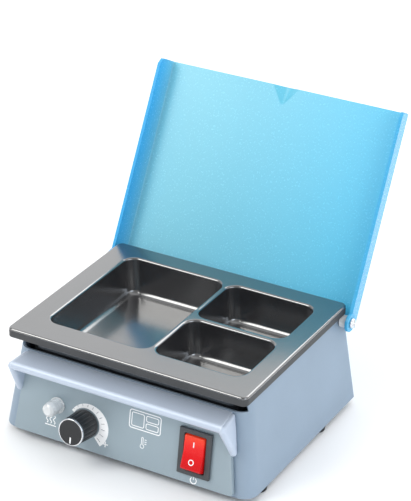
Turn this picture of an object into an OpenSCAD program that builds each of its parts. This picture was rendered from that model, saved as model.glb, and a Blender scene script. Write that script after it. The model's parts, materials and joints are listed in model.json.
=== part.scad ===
// Three-well wax warmer pot with a lift-out tray, a hinged lid and a tilted control fascia.
// Millimetres, +Z up. X = 0 is the plane of symmetry and Z = 0 is the table.
// Inside the modules Y = 0 is the front edge of the tray; stand() moves it all to the origin.

/* [Housing] */
// Width of the housing at its bottom edge
base_w = 180; // [176:1:190]
// Width of the housing at its top rim
rim_w = 163; // [160:0.5:164]
// Thickness of the housing walls
wall = 2; // [1.6:0.1:2.2]
// Height of the housing's bottom edge over the table
skirt_z = 4.6; // [4:0.1:5]
// Height of the top rim over the table
rim_z = 69.3; // [68:0.1:69.3]
// Height of the lowered front edge, where fingers reach under the tray
notch_z = 59.3; // [58:0.1:61]

/* [Tray] */
// Width of the tray flange
tray_w = 170; // [168:1:170]
// Depth of the tray flange, front to back
tray_d = 134; // [132:1:134]
// Height of the tray's top face over the table
tray_z = 74.8; // [74.6:0.1:75]
// Depth of the wells
well_depth = 24.6; // [20:0.2:25]
// Width of the wide well on the left
wide_well = 73.4; // [70:0.2:74]
// Width of the two narrow wells on the right
narrow_well = 62.6; // [60:0.2:63]
// Thickness of the tray's skin
tray_t = 2; // [1.6:0.1:2.2]

/* [Lid] */
// How far the lid stands open, from closed
open_angle = 119; // [90:1:119]
// Length of the lid from its pivot to its front edge
lid_reach = 137.7; // [134:0.1:139]
// Thickness of the lid sheet
lid_t = 2.2; // [2:0.1:2.4]
// Height of the lid's side lips
lip_h = 14; // [13:0.5:15]
// Splay of the side lips
lip_splay = 9; // [8:1:9]

/* [Fascia] */
// Lean of the control panel from upright
panel_tilt = 9; // [8.5:0.5:9]
// Width of the panel at its bottom edge
panel_w = 158; // [154:1:159]
// How far the hood stands in front of the tray's front edge
hood_reach = 12.5; // [10:0.5:14]

/* [Controls] */
// Radius of the knob at its base
knob_r = 9.5; // [9:0.1:10]
// How far the knob's face stands off the panel
knob_len = 17.5; // [16:0.1:18]
// Turn of the rocker from on to off
rocker_travel = 18; // [14:1:18]

/* [Hidden] */

$fn = 48;
gap = 0.3;
sliver = 0.01;
steps = 8; // segments in each rounded corner of an outline

// Housing planes: each wall leans by its slope, in millimetres per millimetre of height
housing_h = rim_z - skirt_z;
side_slope = (base_w - rim_w) / 2 / housing_h;
front_slope = tan(panel_tilt);
rear_slope = 0.055;
front_y0 = -1.8;
rear_y0 = 141;
front_r = 10;
rear_r = 4;
function side_x(z) = base_w / 2 - side_slope * (z - skirt_z);
function front_y(z) = front_y0 + front_slope * (z - skirt_z);
function rear_y(z) = rear_y0 - rear_slope * (z - skirt_z);

// Tray
flange_t = 5.2;
flange_z = tray_z - flange_t;
skirt_x = 75;
skirt_y = [10, 126];
skirt_low = 50;
well_y = [20.2, 119.1];
well_r = 8;
well_draft = 3.5;
web = 4.5;
mid_y = (well_y[0] + well_y[1]) / 2 + 0.3;
wide_x = [4.8 - wide_well, 4.8];
narrow_x = [8.1, 8.1 + narrow_well];
floor_z = tray_z - well_depth;
WELLS = [[wide_x, well_y], [narrow_x, [well_y[0], mid_y - web / 2]],
    [narrow_x, [mid_y + web / 2, well_y[1]]]];

// Lid hinge: the sheet's inner face passes this far from the pivot
pivot_y = 129.5;
pivot_z = 64;
lid_d = 12.2;
lid_x = 87.8;
lid_tail = 3;
ear_r = 6;
ear_x = 87.9;
ear_t = 2.2;
shoulder_r = 2.5;
bush_r = 4;
scoop_len = 13;
scoop_angle = 44;
scoop_dip = 29;
scoop_h = scoop_len * tan(scoop_angle - scoop_dip);

// Fascia panel and what it carries, in the panel's own plane
panel_y = -5;
panel_z = 6.6;
panel_t = 3.4;
hood_nose = 3.5;
hood_z = 59.8;
hood_half = 72.5;
cheek_x = 73.8;
FASCIA_SCREWS = [[-68, 8], [68, 8], [-66, 44], [66, 44]];
knob_taper = 0.6;
knob_at = [-26.5, 17.9];
lamp_at = [-47.6, 24.2];
switch_at = [51.8, 21.4];
bush_hole = 5.1;
lamp_hole = 4.1;
switch_w = 22.4;
switch_h = 30.4;
switch_cut = [19.6, 28.2];
rocker_w = 13.8;
rocker_r = 11.9;
rocker_pivot = 1;
rocker_rest = rocker_travel / 2;

// Heater stack under the tray floor
plate_z = 44.7;
plate_t = 3;
plate_y = [22, 116];
tube_r = 3.2;
tube_z = plate_z - 0.2 - tube_r;
tube_bend = 25;
tube_x = 38;
tube_y = 73;
shield_z = 28.2;
shield_y = [36, 104];
shield_x = 69;
post_x = 75;
POSTS = [for (x = [-post_x, post_x], y = [46, 84]) [x, y]];

// Base
base_z = 5.2;
base_t = 1.5;
boss_h = 14;
BOSSES = [[-79.5, 11], [79.5, 11], [-79.5, 128], [79.5, 128]];
FEET = [for (x = [-83.5, 83.5], y = [20, 98]) [x, y]];
foot_r = 5.8;
foot_h = 4.2;

// Mains inlet on the rear wall
inlet_x = 40;
inlet_z = 32;
inlet_tilt = atan(rear_slope);
inlet_flange = [50, 34];
inlet_cut = [27.6, 29.6];
socket = [24.4, 16.6];
socket_z = 4.6;
drawer = [22, 7];
drawer_z = -9.4;
INLET_PINS = [[-7, socket_z - 2], [7, socket_z - 2], [0, socket_z + 2]];
wire_sides = 8;

// Y limits of the whole pot, which put the origin in the middle of its depth
y_front = panel_y - knob_len * cos(panel_tilt)
    + (knob_at[1] - knob_r + knob_taper) * sin(panel_tilt);
y_back = pivot_y + (lid_d + lid_t + scoop_h) * sin(open_angle) - lid_reach * cos(open_angle);

module stand() translate([0, -(y_front + y_back) / 2, 0]) children();
module in_panel(x = 0, z = 0) translate([0, panel_y, panel_z]) rotate([-panel_tilt, 0, 0])
    translate([x, 0, z]) children();
module in_lid() translate([0, pivot_y, pivot_z]) rotate([-open_angle, 0, 0]) children();
module in_rear(x = 0, z = 0) translate([inlet_x, rear_y(inlet_z) + sliver, inlet_z])
    rotate([inlet_tilt, 0, 0]) translate([x, 0, z]) children();
module at_all(places) for (p = places) translate([p[0], p[1], 0]) children();
module both_sides() for (s = [-1, 1]) scale_x(s) children();
module scale_x(s) mirror([s < 0 ? 1 : 0, 0, 0]) children();
// A cylinder along X from x0 to x1
module bar_x(r, x0, x1) translate([x0, 0, 0]) rotate([0, 90, 0]) cylinder(r = r, h = x1 - x0);
// A cylinder along Y from y0 to y1
module bar_y(r, y0, y1) translate([0, y1, 0]) rotate([90, 0, 0]) cylinder(r = r, h = y1 - y0);

function corner(x, y, r, a0) = [for (i = [0:steps]) let (a = a0 + 90 * i / steps)
    [x + r * cos(a), y + r * sin(a)]];
// A rectangle whose front and rear corners have their own radii
function outline(x0, x1, y0, y1, rf, rr) = concat(corner(x0 + rf, y0 + rf, rf, 180),
    corner(x1 - rf, y0 + rf, rf, 270), corner(x1 - rr, y1 - rr, rr, 0),
    corner(x0 + rr, y1 - rr, rr, 90));
module slice(z, points) translate([0, 0, z]) linear_extrude(sliver) polygon(points);
module slab(z0, z1, points) translate([0, 0, z0]) linear_extrude(z1 - z0) polygon(points);
function housing_outline(z, inset) = outline(-side_x(z) + inset, side_x(z) - inset,
    front_y(z) + inset, rear_y(z) - inset, front_r - inset, rear_r - inset);
module housing_block(z0, z1, inset) hull() {
    slice(z0, housing_outline(z0, inset));
    slice(z1 - sliver, housing_outline(z1, inset));
}

module housing() color([0.62, 0.68, 0.75]) stand() difference() {
    union() {
        difference() {
            housing_block(skirt_z, rim_z, 0);
            housing_block(skirt_z - 1, rim_z + 1, wall);
        }
        for (p = BOSSES) housing_boss(p);
    }
    // lowered front edge
    translate([-base_w, -20, notch_z]) cube([2 * base_w, 31, 20]);
    at_all(BOSSES) translate([0, 0, base_z]) cylinder(r = 1.6, h = boss_h);
    translate([-base_w, pivot_y, pivot_z]) bar_x(2.1, 0, 2 * base_w);
    in_panel(knob_at[0], knob_at[1]) bar_y(bush_hole, -5, 12);
    in_panel(lamp_at[0], lamp_at[1]) bar_y(lamp_hole, -5, 12);
    in_panel(switch_at[0], switch_at[1])
        translate([-switch_cut[0] / 2, -5, -switch_cut[1] / 2])
            cube([switch_cut[0], 20, switch_cut[1]]);
    for (p = FASCIA_SCREWS) in_panel(p[0], p[1]) bar_y(1.6, 2, 12);
    in_rear() translate([-inlet_cut[0] / 2, -10, -inlet_cut[1] / 2])
        cube([inlet_cut[0], 20, inlet_cut[1]]);
    for (x = [-20, 20]) in_rear(x) bar_y(1.6, -10, 10);
}
module housing_boss(p) {
    side = p[0] < 0 ? -1 : 1;
    translate([p[0], p[1], base_z + base_t]) cylinder(r = 4.5, h = boss_h);
    translate([min(p[0], side * 87.2), p[1] - 1.2, base_z + base_t])
        cube([abs(side * 87.2 - p[0]), 2.4, boss_h]);
}

module base_plate() color([0.72, 0.73, 0.75]) stand() difference() {
    slab(base_z, base_z + base_t, outline(-87, 87, 1.2, 138.2, 8, 2.5));
    at_all(concat(BOSSES, FEET, POSTS)) cylinder(r = 1.6, h = 20);
    for (x = [-42, 42], i = [0:5]) translate([x, 34 + i * 14, 0]) vent_slot();
}
module vent_slot() translate([0, 0, base_z - 1]) {
    translate([-13, -2, 0]) cube([26, 4, base_t + 2]);
    for (x = [-13, 13]) translate([x, 0, 0]) cylinder(r = 2, h = base_t + 2);
}
module pan_screw(head_r, head_h, shank_r, shank_h) difference() {
    union() {
        cylinder(r = shank_r, h = shank_h);
        translate([0, 0, -head_h]) cylinder(r = head_r, h = head_h);
    }
    for (a = [0, 90]) rotate(a) translate([-head_r * 0.6, -0.35, -head_h - 1])
        cube([head_r * 1.2, 0.7, 1.6]);
}
module base_screws() color("silver") stand()
    at_all(BOSSES) translate([0, 0, base_z]) pan_screw(2.8, 1.6, 1.5, 12);
module post_screws() color("silver") stand()
    at_all(POSTS) translate([0, 0, base_z]) pan_screw(2.8, 1.6, 1.5, 10);
module rubber_feet() color([0.1, 0.1, 0.12]) stand() at_all(FEET) difference() {
    union() {
        cylinder(r1 = foot_r - 0.7, r2 = foot_r, h = foot_h);
        cylinder(r = 3.9, h = base_z);
    }
    translate([0, 0, -1]) cylinder(r = 3.3, h = 3.4);
    cylinder(r = 1.6, h = 20);
}
module foot_screws() color("silver") stand()
    at_all(FEET) translate([0, 0, 2.4]) pan_screw(3, 1.6, 1.5, 8);

// Control fascia: a flat panel, a hood along its top and a cheek that closes each end of the hood
function panel_half(z) = panel_w / 2 - side_slope * z;
module front_fascia() color([0.66, 0.71, 0.78]) stand() difference() {
    union() {
        in_panel() translate([0, panel_t, 0]) rotate([90, 0, 0]) linear_extrude(panel_t)
            polygon([[-panel_half(0), 0], [panel_half(0), 0],
                [panel_half(52), 52], [-panel_half(52), 52]]);
        rotate([90, 0, 90]) translate([0, 0, -hood_half]) linear_extrude(2 * hood_half)
            hood_profile();
        both_sides() cheek();
    }
    in_panel(knob_at[0], knob_at[1]) bar_y(bush_hole, -5, 12);
    in_panel(lamp_at[0], lamp_at[1]) bar_y(lamp_hole, -5, 12);
    in_panel(switch_at[0], switch_at[1])
        translate([-switch_cut[0] / 2, -5, -switch_cut[1] / 2])
            cube([switch_cut[0], 20, switch_cut[1]]);
    for (p = FASCIA_SCREWS) in_panel(p[0], p[1]) bar_y(1.6, 1.2, 12);
}
module hood_profile() {
    nose = [-hood_reach + hood_nose, hood_z - hood_nose];
    back = front_y(hood_z - 1) - 0.1;
    polygon([[nose[0], hood_z], [back, hood_z - 1], [front_y(51.5) - 0.2, 51.5],
        [front_y(51.5) - 3, 51.5], [nose[0], nose[1] - hood_nose]]);
    translate(nose) circle(r = hood_nose);
}
module cheek() hull() {
    translate([cheek_x, 4.2, hood_z - 2.6]) sphere(r = 1.8, $fn = 24);
    translate([cheek_x, -hood_reach + hood_nose, hood_z - hood_nose]) sphere(r = 2.4, $fn = 24);
    translate([cheek_x + 2.7, 0.3, 34.7]) sphere(r = 2.2, $fn = 24);
    translate([cheek_x + 1, 3.2, hood_z - 12]) sphere(r = 1.8, $fn = 24);
}
module fascia_screws() color("silver") stand()
    for (p = FASCIA_SCREWS) in_panel(p[0], p[1])
        translate([0, 5.6, 0]) rotate([90, 0, 0]) pan_screw(2.6, 1.6, 1.5, 4);
// Printed crescent round the knob, thin where the heat is low and wide where it is high
module dial_print() color("white") stand() in_panel(knob_at[0], knob_at[1])
    rotate([90, 0, 0]) linear_extrude(0.2) difference() {
        translate([2.1, -1.1]) circle(r = 14.5);
        circle(r = 10.8);
        polygon([[0, 0], [-40 * sin(60), 40 * cos(60)], [-60, -10], [-60, -60],
            [40 * sin(138), 40 * cos(138) - 20], [40 * sin(138), 40 * cos(138)]]);
    }

module well(points, grow) {
    x = points[0];
    y = points[1];
    r = well_r + grow;
    d = well_draft - grow;
    hull() {
        slice(grow > 0 ? tray_z - tray_t : tray_z + 1,
            outline(x[0] - grow, x[1] + grow, y[0] - grow, y[1] + grow, r, r));
        slice(floor_z + 3 - grow, outline(x[0] + d * 0.8, x[1] - d * 0.8,
            y[0] + d * 0.8, y[1] - d * 0.8, well_r, well_r));
        slice(floor_z - grow, outline(x[0] + d + 2, x[1] - d - 2,
            y[0] + d + 2, y[1] - d - 2, well_r - 2, well_r - 2));
    }
}
module wax_tray() color([0.16, 0.16, 0.18]) stand() difference() {
    union() {
        difference() {
            slab(flange_z, tray_z, outline(-tray_w / 2, tray_w / 2, 0, tray_d, 4, 4));
            slab(flange_z - 1, tray_z - tray_t,
                outline(-tray_w / 2 + 3, tray_w / 2 - 3, 3, tray_d - 3, 2, 2));
        }
        difference() {
            slab(skirt_low, tray_z - 1, outline(-skirt_x, skirt_x, skirt_y[0], skirt_y[1], 8, 8));
            slab(skirt_low - 1, tray_z - tray_t, outline(-skirt_x + tray_t, skirt_x - tray_t,
                skirt_y[0] + tray_t, skirt_y[1] - tray_t, 6, 6));
        }
        for (w = WELLS) well(w, tray_t);
    }
    for (w = WELLS) well(w, 0);
}

module heater_plate() color([0.75, 0.76, 0.78]) stand() difference() {
    slab(plate_z, plate_z + plate_t - 0.1, outline(-70, 70, plate_y[0], plate_y[1], 8, 8));
    for (x = [-62, 62], y = [30, 108]) translate([x, y, plate_z - 1]) cylinder(r = 2, h = 6);
}
module heating_element() color([0.35, 0.33, 0.32]) stand() translate([0, tube_y, tube_z]) {
    for (s = [-1, 1]) translate([0, s * tube_bend, 0]) bar_x(tube_r, -50, tube_x);
    translate([tube_x, 0, 0]) rotate([0, 0, -90]) rotate_extrude(angle = 180)
        translate([tube_bend, 0]) circle(r = tube_r);
}
module element_terminals() color("goldenrod") stand() translate([0, tube_y, tube_z])
    for (s = [-1, 1]) translate([0, s * tube_bend, 0]) {
        bar_x(1.2, -60, -50);
        bar_x(2.2, -53, -50);
    }
module element_clamps() color("silver") stand() for (x = [-22, 22])
    translate([x - 5, tube_y - tube_bend - 4.5, tube_z - tube_r - 1.2]) difference() {
        cube([10, 2 * tube_bend + 9, 7.6]);
        translate([-1, 1, 1]) cube([12, 2 * tube_bend + 7, 10]);
    }
module insulation_pad() color([0.9, 0.88, 0.8]) stand()
    slab(shield_z + 1.2, tube_z - tube_r - 1.5,
        outline(-shield_x + 3, shield_x - 3, shield_y[0] + 3, shield_y[1] - 3, 5, 5));
module heat_shield() color([0.8, 0.8, 0.82]) stand() difference() {
    union() {
        difference() {
            slab(shield_z, shield_z + 11,
                outline(-shield_x, shield_x, shield_y[0], shield_y[1], 6, 6));
            slab(shield_z + 1, shield_z + 20, outline(-shield_x + 1, shield_x - 1,
                shield_y[0] + 1, shield_y[1] - 1, 5, 5));
        }
        for (p = POSTS) translate([p[0] > 0 ? 66 : -80, p[1] - 5, shield_z]) cube([14, 10, 1]);
    }
    at_all(POSTS) cylinder(r = 1.6, h = 60);
    for (p = POSTS) translate([p[0] > 0 ? 60 : -68, p[1] - 6, shield_z + 1]) cube([8, 12, 3]);
}
module shield_posts() color("silver") stand() at_all(POSTS) difference() {
    translate([0, 0, base_z + base_t]) cylinder(r = 4, h = shield_z - base_z - base_t, $fn = 6);
    cylinder(r = 1.6, h = 60);
}
module shield_screws() color("silver") stand() at_all(POSTS)
    translate([0, 0, shield_z + 1]) rotate([180, 0, 0]) pan_screw(2.6, 1.6, 1.5, 6);
module thermal_cutout() color([0.85, 0.8, 0.7]) stand() translate([-63, 73, plate_z - 0.2]) {
    translate([-2.5, -8, -4]) cube([5, 16, 4]);
    translate([0, 0, -2]) bar_y(1, -14, 14);
}

// Capillary thermostat behind the panel, with its spindle through a threaded bush
module thermostat() color([0.85, 0.83, 0.76]) stand() in_panel(knob_at[0], knob_at[1])
    difference() {
        union() {
            translate([-13, 5.8, -14]) cube([26, 15, 28]);
            bar_y(4.9, -5, 6);
            for (x = [-9, 0, 9]) translate([x - 3, 20, -3]) cube([6, 8, 0.8]);
        }
        bar_y(3.05, -6, 17);
    }
module thermostat_washer() color("silver") stand() in_panel(knob_at[0], knob_at[1])
    difference() {
        bar_y(7.2, -0.7, 0);
        bar_y(bush_hole, -2, 2);
    }
module thermostat_nut() color("silver") stand() in_panel(knob_at[0], knob_at[1]) difference() {
    translate([0, -0.7, 0]) rotate([90, 0, 0]) cylinder(r = 7.4, h = 2.4, $fn = 6);
    bar_y(bush_hole, -6, 2);
}
module sensor_bulb() color([0.8, 0.55, 0.4]) stand() {
    translate([66.5, 0, plate_z - 2.2]) bar_y(1.6, 44, 60);
    translate([66.5, 0, plate_z - 2.2]) bar_y(0.6, 32, 45);
    translate([66.5, 32, 24]) cylinder(r = 0.6, h = plate_z - 26.2);
    translate([-25.5, 32, 24]) bar_x(0.6, 0, 92);
    translate([-25.5, 0, 24]) bar_y(0.6, 19.3, 32);
    for (p = [[66.5, 32, 24], [66.5, 32, plate_z - 2.2], [-25.5, 32, 24]]) translate(p)
        sphere(r = 0.6);
}
module control_shaft() color("silver") stand() in_panel(knob_at[0], knob_at[1])
    bar_y(3, -knob_len + 3.2, 16);
module knob() color([0.12, 0.12, 0.14]) stand() in_panel(knob_at[0], knob_at[1])
    difference() {
        translate([0, -0.8, 0]) rotate([90, 0, 0])
            cylinder(r1 = knob_r, r2 = knob_r - knob_taper, h = knob_len - 2);
        bar_y(8, -5.8, 0);
        bar_y(3.02, -knob_len + 3, 0);
        translate([0, -9.5, 0]) rotate([180, 0, 0]) cylinder(r = 1.3, h = 20);
    }
module set_screw() color("dimgray") stand() in_panel(knob_at[0], knob_at[1])
    translate([0, -9.5, -8]) difference() {
        cylinder(r = 1.2, h = 4.9);
        translate([0, 0, -1]) cylinder(r = 0.7, h = 2.5, $fn = 6);
    }
module knob_ring() color("silver") stand() in_panel(knob_at[0], knob_at[1]) difference() {
    bar_y(knob_r - knob_taper, -knob_len, -knob_len + 1.2);
    bar_y(8.2, -knob_len - 1, -knob_len + 3);
}
module knob_cap() color([0.1, 0.1, 0.12]) stand() in_panel(knob_at[0], knob_at[1])
    difference() {
        bar_y(8.1, -knob_len + 0.2, -knob_len + 1.2);
        translate([-0.5, -knob_len - 1, -7.6]) cube([1, 1.6, 4.6]);
    }
module knob_pointer() color("white") stand() in_panel(knob_at[0], knob_at[1])
    translate([-0.45, -knob_len + 0.15, -7.5]) cube([0.9, 0.4, 4.4]);

// Neon pilot light: clear lens in front, barrel and nut behind
module pilot_lens() color([0.9, 0.95, 0.97, 0.5]) stand() in_panel(lamp_at[0], lamp_at[1]) {
    bar_y(5.4, -1.2, 0);
    bar_y(4.9, -9.6, -1.2);
    translate([0, -9.6, 0]) rotate([90, 0, 0]) cylinder(r1 = 4.9, r2 = 3, h = 2.7);
}
module pilot_lamp() color([0.9, 0.9, 0.86]) stand() in_panel(lamp_at[0], lamp_at[1]) {
    bar_y(3.9, 0, 20);
    for (x = [-1.6, 1.6]) translate([x, 0, 0]) bar_y(0.5, 20, 27);
}
module pilot_nut() color("silver") stand() in_panel(lamp_at[0], lamp_at[1]) difference() {
    translate([0, 8.4, 0]) rotate([90, 0, 0]) cylinder(r = 6.2, h = 2.6, $fn = 6);
    bar_y(4, 0, 20);
}

// Power switch: bezel and body in one, with a rocker on two trunnions
module switch_body() color([0.2, 0.22, 0.24]) stand() in_panel(switch_at[0], switch_at[1])
    difference() {
        union() {
            translate([-switch_w / 2, -2, -switch_h / 2]) cube([switch_w, 2, switch_h]);
            translate([-9.7, 0, -14]) cube([19.4, 20, 28]);
        }
        translate([0, rocker_pivot, 0]) {
            bar_x(rocker_r + 0.5, -rocker_w / 2 - 0.5, rocker_w / 2 + 0.5);
            bar_x(1.55, -9.2, 9.2);
        }
    }
module switch_terminals() color("goldenrod") stand() in_panel(switch_at[0], switch_at[1])
    for (x = [-5, 5], z = [-8, 0, 8]) translate([x - 0.4, 20, z - 2.4]) cube([0.8, 8, 4.8]);
module rocker() color([0.9, 0.1, 0.15]) stand() in_panel(switch_at[0], switch_at[1])
    translate([0, rocker_pivot, 0]) rotate([-rocker_rest, 0, 0]) {
        intersection() {
            bar_x(rocker_r, -rocker_w / 2, rocker_w / 2);
            rotate([90, 0, 90]) translate([0, 0, -rocker_w / 2]) linear_extrude(rocker_w)
                polygon([[-5.8, -13], [-4.6, 0], [-5.8, 13], [3, 13], [3, -13]]);
        }
        bar_x(1.5, -9, 9);
    }

// A shallow cone that leaves the sheet at its apex and opens at the lid's front edge
module scoop_cone() translate([0, scoop_len - lid_reach, 0]) rotate([90 + scoop_dip, 0, 0])
    translate([0, 0, 0.2]) cylinder(r1 = 0.2 * tan(scoop_angle), r2 = 20 * tan(scoop_angle), h = 19.8);
module lid() color([0.45, 0.78, 0.92, 0.85]) stand() in_lid() difference() {
    union() {
        translate([0, lid_tail, 0]) rotate([90, 0, 0]) linear_extrude(lid_reach + lid_tail)
            lid_section();
        intersection() {
            translate([0, 0, lid_d + lid_t]) scoop_cone();
            translate([-20, -lid_reach, lid_d + 1]) cube([40, 40, 20]);
        }
        both_sides() bar_x(ear_r, ear_x, ear_x + ear_t);
    }
    intersection() {
        translate([0, 0, lid_d]) scoop_cone();
        translate([-20, -lid_reach - 1, lid_d - 1]) cube([40, 40, 20]);
    }
    both_sides() {
        bar_x(bush_r + 0.7, 70, ear_x);
        bar_x(shoulder_r + 0.08, 70, 100);
        translate([0, -lid_reach, lid_d - lip_h]) lip_corner();
    }
}
module lid_section() {
    splay = tan(lip_splay);
    low = lid_d - lip_h;
    top = lid_d + lid_t;
    inner = lid_x - lid_t;
    polygon([[-lid_x, top], [-lid_x - splay * (top - low), low],
        [-inner - splay * lip_h, low], [-inner, lid_d], [inner, lid_d],
        [inner + splay * lip_h, low], [lid_x + splay * (top - low), low], [lid_x, top]]);
}
// Rounds the free corner of a lip
module lip_corner() difference() {
    translate([80, -1, -1]) cube([20, 5, 5]);
    translate([0, 4, 4]) bar_x(4, 70, 110);
}

module hinge_screws() color("silver") stand() translate([0, pivot_y, pivot_z]) both_sides() {
    bar_x(2, 76.2, 82.6);
    bar_x(shoulder_r, 82.6, 90.4);
    bar_x(4, 90.4, 92.4);
}
module hinge_bushes() color("white") stand() translate([0, pivot_y, pivot_z]) both_sides()
    difference() {
        bar_x(bush_r, 82.9, ear_x - gap);
        bar_x(shoulder_r + 0.05, 80, 90);
    }
module hinge_washers() color("silver") stand() translate([0, pivot_y, pivot_z]) both_sides()
    difference() {
        bar_x(4.4, 78.9, 79.5);
        bar_x(2.1, 70, 90);
    }
module hinge_nuts() color("silver") stand() translate([0, pivot_y, pivot_z]) both_sides()
    difference() {
        translate([76.5, 0, 0]) rotate([0, 90, 0]) cylinder(r = 4, h = 2.4, $fn = 6);
        bar_x(2.1, 70, 90);
    }

// Fused mains inlet on the rear wall
module mains_inlet() color([0.12, 0.12, 0.13]) stand() in_rear() difference() {
    union() {
        translate([-inlet_flange[0] / 2, 0, -inlet_flange[1] / 2])
            cube([inlet_flange[0], 2.5, inlet_flange[1]]);
        translate([-13.6, -22, -14.6]) cube([27.2, 22, 29.2]);
    }
    translate([-socket[0] / 2, -15, socket_z - socket[1] / 2]) cube([socket[0], 20, socket[1]]);
    translate([-drawer[0] / 2 - 0.2, -20.5, drawer_z - drawer[1] / 2 - 0.2])
        cube([drawer[0] + 0.4, 30, drawer[1] + 0.4]);
    for (p = INLET_PINS) translate([p[0] - 1.1, -30, p[1] - 2.1]) cube([2.2, 20, 4.2]);
    for (x = [-20, 20]) translate([x, 0, 0]) bar_y(1.6, -10, 10);
}
module inlet_pins() color("silver") stand() in_rear()
    for (p = INLET_PINS) translate([p[0] - 1, -26, p[1] - 2]) cube([2, 25, 4]);
module inlet_screws() color("silver") stand() for (x = [-20, 20]) in_rear(x)
    translate([0, 2.5, 0]) rotate([90, 0, 0]) pan_screw(2.8, 1.4, 1.5, 9);
module fuse_drawer() color([0.12, 0.12, 0.13]) stand() in_rear(0, drawer_z) difference() {
    union() {
        translate([-drawer[0] / 2, -20, -drawer[1] / 2]) cube([drawer[0], 22.7, drawer[1]]);
        translate([-drawer[0] / 2 - 1, 2.7, -drawer[1] / 2 - 1])
            cube([drawer[0] + 2, 1.5, drawer[1] + 2]);
    }
    translate([-10.2, -15, -2.7]) cube([20.4, 5.6, 20]);
}
module fuse() color([0.9, 0.92, 0.95]) stand() in_rear(0, drawer_z)
    translate([0, -12.2, -0.1]) bar_x(2.5, -10, 10);

module terminal_block() color([0.92, 0.92, 0.88]) stand() difference() {
    translate([-18, 62, base_z + base_t]) cube([36, 16, 12]);
    for (i = [-1:1]) translate([i * 11, 70, 0]) {
        translate([0, 0, 14]) bar_y(1.8, -20, 20);
        for (y = [-4, 4]) translate([0, y, 14]) cylinder(r = 1.6, h = 10);
    }
}
module terminal_screws() color("silver") stand() for (i = [-1:1], y = [-4, 4])
    translate([i * 11, 70 + y, 15.9]) difference() {
        cylinder(r = 1.4, h = 2.4);
        translate([-2, -0.3, 1.8]) cube([4, 0.6, 2]);
    }
module earth_stud() color("goldenrod") stand() translate([60, 122, base_z + base_t]) {
    cylinder(r = 2, h = 9);
    translate([0, 0, 2]) cylinder(r = 3.6, h = 2.4, $fn = 6);
    translate([0, 0, 4.6]) cylinder(r = 4, h = 0.8);
}

// A wire along the given points, with a ring square to the run's mean direction at each of them
function unit(v) = v / norm(v);
function heading(points, i) = unit((i < len(points) - 1 ? unit(points[i + 1] - points[i]) : [0, 0, 0])
    + (i > 0 ? unit(points[i] - points[i - 1]) : [0, 0, 0]));
function ring_side(way) = unit(cross(way, [0.3, 0.8, -0.5]));
module wire(points, r = 1.1) {
    n = len(points);
    rings = [for (i = [0:n - 1]) let (way = heading(points, i), u = ring_side(way),
        v = cross(way, u)) for (k = [0:wire_sides - 1]) let (a = 360 * k / wire_sides)
        points[i] + r * (cos(a) * u + sin(a) * v)];
    walls = [for (i = [0:n - 2], k = [0:wire_sides - 1], half = [0, 1])
        let (m = (k + 1) % wire_sides, b = i * wire_sides, c = b + wire_sides)
        half == 0 ? [b + k, c + k, c + m] : [b + k, c + m, b + m]];
    ends = [[for (k = [0:wire_sides - 1]) k],
        [for (k = [wire_sides - 1:-1:0]) (n - 1) * wire_sides + k]];
    polyhedron(rings, concat(walls, ends));
}
module live_wire() color("saddlebrown") stand()
    wire([[33, 113, 34.6], [33, 109, 34], [32, 106.5, 22], [4, 92, 14], [0, 86, 14], [0, 72, 14]]);
module neutral_wire() color("royalblue") stand()
    wire([[47, 113, 34.6], [47, 109, 34], [46, 106.5, 20], [16, 90, 16], [11, 86, 14],
        [11, 72, 14]]);
module heater_wire() color("white") stand()
    wire([[-11, 68, 14], [-11, 56, 14], [-40, 40, 18], [-68, 33, 22], [-72, 33, 28],
        [-72, 34, 38], [-71, 46, tube_z], [-60.6, 48, tube_z]]);

housing();
base_plate();
base_screws();
rubber_feet();
foot_screws();
front_fascia();
fascia_screws();
dial_print();
wax_tray();
heater_plate();
heating_element();
element_terminals();
element_clamps();
insulation_pad();
heat_shield();
shield_posts();
shield_screws();
post_screws();
thermal_cutout();
thermostat();
thermostat_washer();
thermostat_nut();
sensor_bulb();
control_shaft();
knob();
knob_ring();
knob_cap();
knob_pointer();
set_screw();
pilot_lens();
pilot_lamp();
pilot_nut();
switch_body();
switch_terminals();
rocker();
lid();
hinge_screws();
hinge_bushes();
hinge_washers();
hinge_nuts();
mains_inlet();
inlet_pins();
inlet_screws();
fuse_drawer();
fuse();
terminal_block();
terminal_screws();
earth_stud();
live_wire();
neutral_wire();
heater_wire();
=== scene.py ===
import json
import math

import bmesh
import bpy
from mathutils import Matrix, Vector
from mathutils.geometry import tessellate_polygon


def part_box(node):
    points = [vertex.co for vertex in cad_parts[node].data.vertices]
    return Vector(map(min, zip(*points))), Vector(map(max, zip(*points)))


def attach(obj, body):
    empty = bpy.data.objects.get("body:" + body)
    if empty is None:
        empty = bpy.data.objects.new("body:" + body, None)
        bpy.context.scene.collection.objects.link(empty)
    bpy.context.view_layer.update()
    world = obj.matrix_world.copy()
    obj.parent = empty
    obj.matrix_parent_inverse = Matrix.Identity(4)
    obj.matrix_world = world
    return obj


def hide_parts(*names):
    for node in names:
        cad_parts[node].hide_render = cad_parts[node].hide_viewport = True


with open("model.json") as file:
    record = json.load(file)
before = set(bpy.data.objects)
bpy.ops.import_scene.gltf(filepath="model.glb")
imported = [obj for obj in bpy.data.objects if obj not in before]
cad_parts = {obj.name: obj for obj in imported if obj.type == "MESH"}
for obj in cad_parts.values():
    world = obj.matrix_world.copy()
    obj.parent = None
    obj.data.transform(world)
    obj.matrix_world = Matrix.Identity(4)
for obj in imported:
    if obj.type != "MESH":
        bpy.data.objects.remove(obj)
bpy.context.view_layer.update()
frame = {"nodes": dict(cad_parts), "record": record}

# ---------------------------------------------------------------- places, in millimetres
# X = 0 is the pot's middle, Y = 0 the tray's front edge and Z = 0 the table.
MM = 0.001
TRAY_LOW, TRAY_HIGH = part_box("wax_tray")
TRAY_W = (TRAY_HIGH.x - TRAY_LOW.x) / MM
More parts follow.
